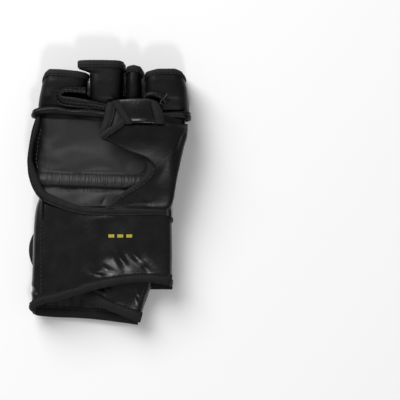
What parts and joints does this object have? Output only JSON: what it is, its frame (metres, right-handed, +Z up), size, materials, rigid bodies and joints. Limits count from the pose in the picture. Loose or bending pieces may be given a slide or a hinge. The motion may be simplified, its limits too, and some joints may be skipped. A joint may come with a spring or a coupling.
{
  "type": "mma glove",
  "caption": "Right-hand fingerless grappling glove: padded back, open palm, finger sleeves, thumb sleeve and hook-and-loop wrist strap.",
  "frame": {"origin": "on the surface the glove lies on, under the middle of its bounding box", "axes": "+X towards the thumb side, +Y towards the fingertips, +Z up out of the open palm"},
  "size_m": [0.14, 0.228, 0.045],
  "materials": {
    "outer_leather": "satin, fine grain",
    "edge_binding": "matte ribbed tape",
    "satin_lining": "soft satin sheen",
    "foam_padding": "matte closed-cell foam",
    "hook_tape": "matte moulded hooks",
    "loop_tape": "matte brushed loops",
    "print_film": "matte transfer film"
  },
  "bodies": {
    "hand": {"back_shell": "outer_leather", "back_foam": "foam_padding", "palm_lining": "satin_lining", "pinky_side_panel": "outer_leather", "thumb_side_panel": "outer_leather", "pinky_edge_binding": "edge_binding", "thenar_panel": "outer_leather", "palm_notch_binding": "edge_binding", "palm_bar": "edge_binding", "divider_little_ring": "outer_leather", "divider_ring_middle": "outer_leather", "divider_middle_index": "outer_leather", "cuff_back_panel": "outer_leather", "cuff_lining": "satin_lining", "loop_patch": "loop_tape", "cuff_hem_binding": "edge_binding", "cuff_flap": "outer_leather", "cuff_flap_binding": "edge_binding", "strap_front_panel": "outer_leather", "strap_top_binding": "edge_binding", "strap_bottom_binding": "edge_binding", "size_mark": "print_film"},
    "little_finger": {"little_sleeve": "outer_leather", "little_lining": "satin_lining", "little_binding": "edge_binding", "little_foam": "foam_padding"},
    "ring_finger": {"ring_sleeve": "outer_leather", "ring_lining": "satin_lining", "ring_binding": "edge_binding", "ring_foam": "foam_padding"},
    "middle_finger": {"middle_sleeve": "outer_leather", "middle_lining": "satin_lining", "middle_binding": "edge_binding", "middle_foam": "foam_padding"},
    "index_finger": {"index_sleeve": "outer_leather", "index_lining": "satin_lining", "index_binding": "edge_binding", "index_foam": "foam_padding"},
    "thumb": {"thumb_sleeve": "outer_leather", "thumb_lining": "satin_lining", "thumb_back_binding": "edge_binding", "thumb_mouth_binding": "edge_binding", "thumb_band": "outer_leather", "thumb_band_inner_binding": "edge_binding", "thumb_band_outer_binding": "edge_binding"},
    "strap_turn": {"strap_turn_panel": "outer_leather", "strap_turn_lower_binding": "edge_binding", "strap_turn_upper_binding": "edge_binding"},
    "strap_tail": {"strap_tail_panel": "outer_leather", "strap_tail_binding": "edge_binding", "hook_patch": "hook_tape"}
  },
  "joints": [
    {"name": "little_bend", "type": "hinge", "parent": "hand", "child": "little_finger", "pos_m": [-0.0397, 0.086, 0.02], "axis": [1, 0, 0], "range_deg": [0, 35]},
    {"name": "ring_bend", "type": "hinge", "parent": "hand", "child": "ring_finger", "pos_m": [-0.0016, 0.086, 0.02], "axis": [1, 0, 0], "range_deg": [0, 35]},
    {"name": "middle_bend", "type": "hinge", "parent": "hand", "child": "middle_finger", "pos_m": [0.0216, 0.086, 0.02], "axis": [1, 0, 0], "range_deg": [0, 35]},
    {"name": "index_bend", "type": "hinge", "parent": "hand", "child": "index_finger", "pos_m": [0.0496, 0.086, 0.02], "axis": [1, 0, 0], "range_deg": [0, 35]},
    {"name": "thumb_lift", "type": "hinge", "parent": "hand", "child": "thumb", "pos_m": [0.0389, 0.0221, 0.034], "axis": [0.6148, 0.7887, 0], "range_deg": [0, 80]},
    {"name": "strap_unfold", "type": "hinge", "parent": "hand", "child": "strap_turn", "pos_m": [0.0538, -0.0506, 0.0259], "axis": [0, -1, 0], "range_deg": [0, 90]},
    {"name": "strap_peel", "type": "hinge", "parent": "strap_turn", "child": "strap_tail", "pos_m": [0.0539, -0.0506, 0.0027], "axis": [0, -1, 0], "range_deg": [0, 90]}
  ],
  "couplings": [
    {"joint": "strap_peel", "follows": "strap_unfold", "ratio": 1}
  ]
}
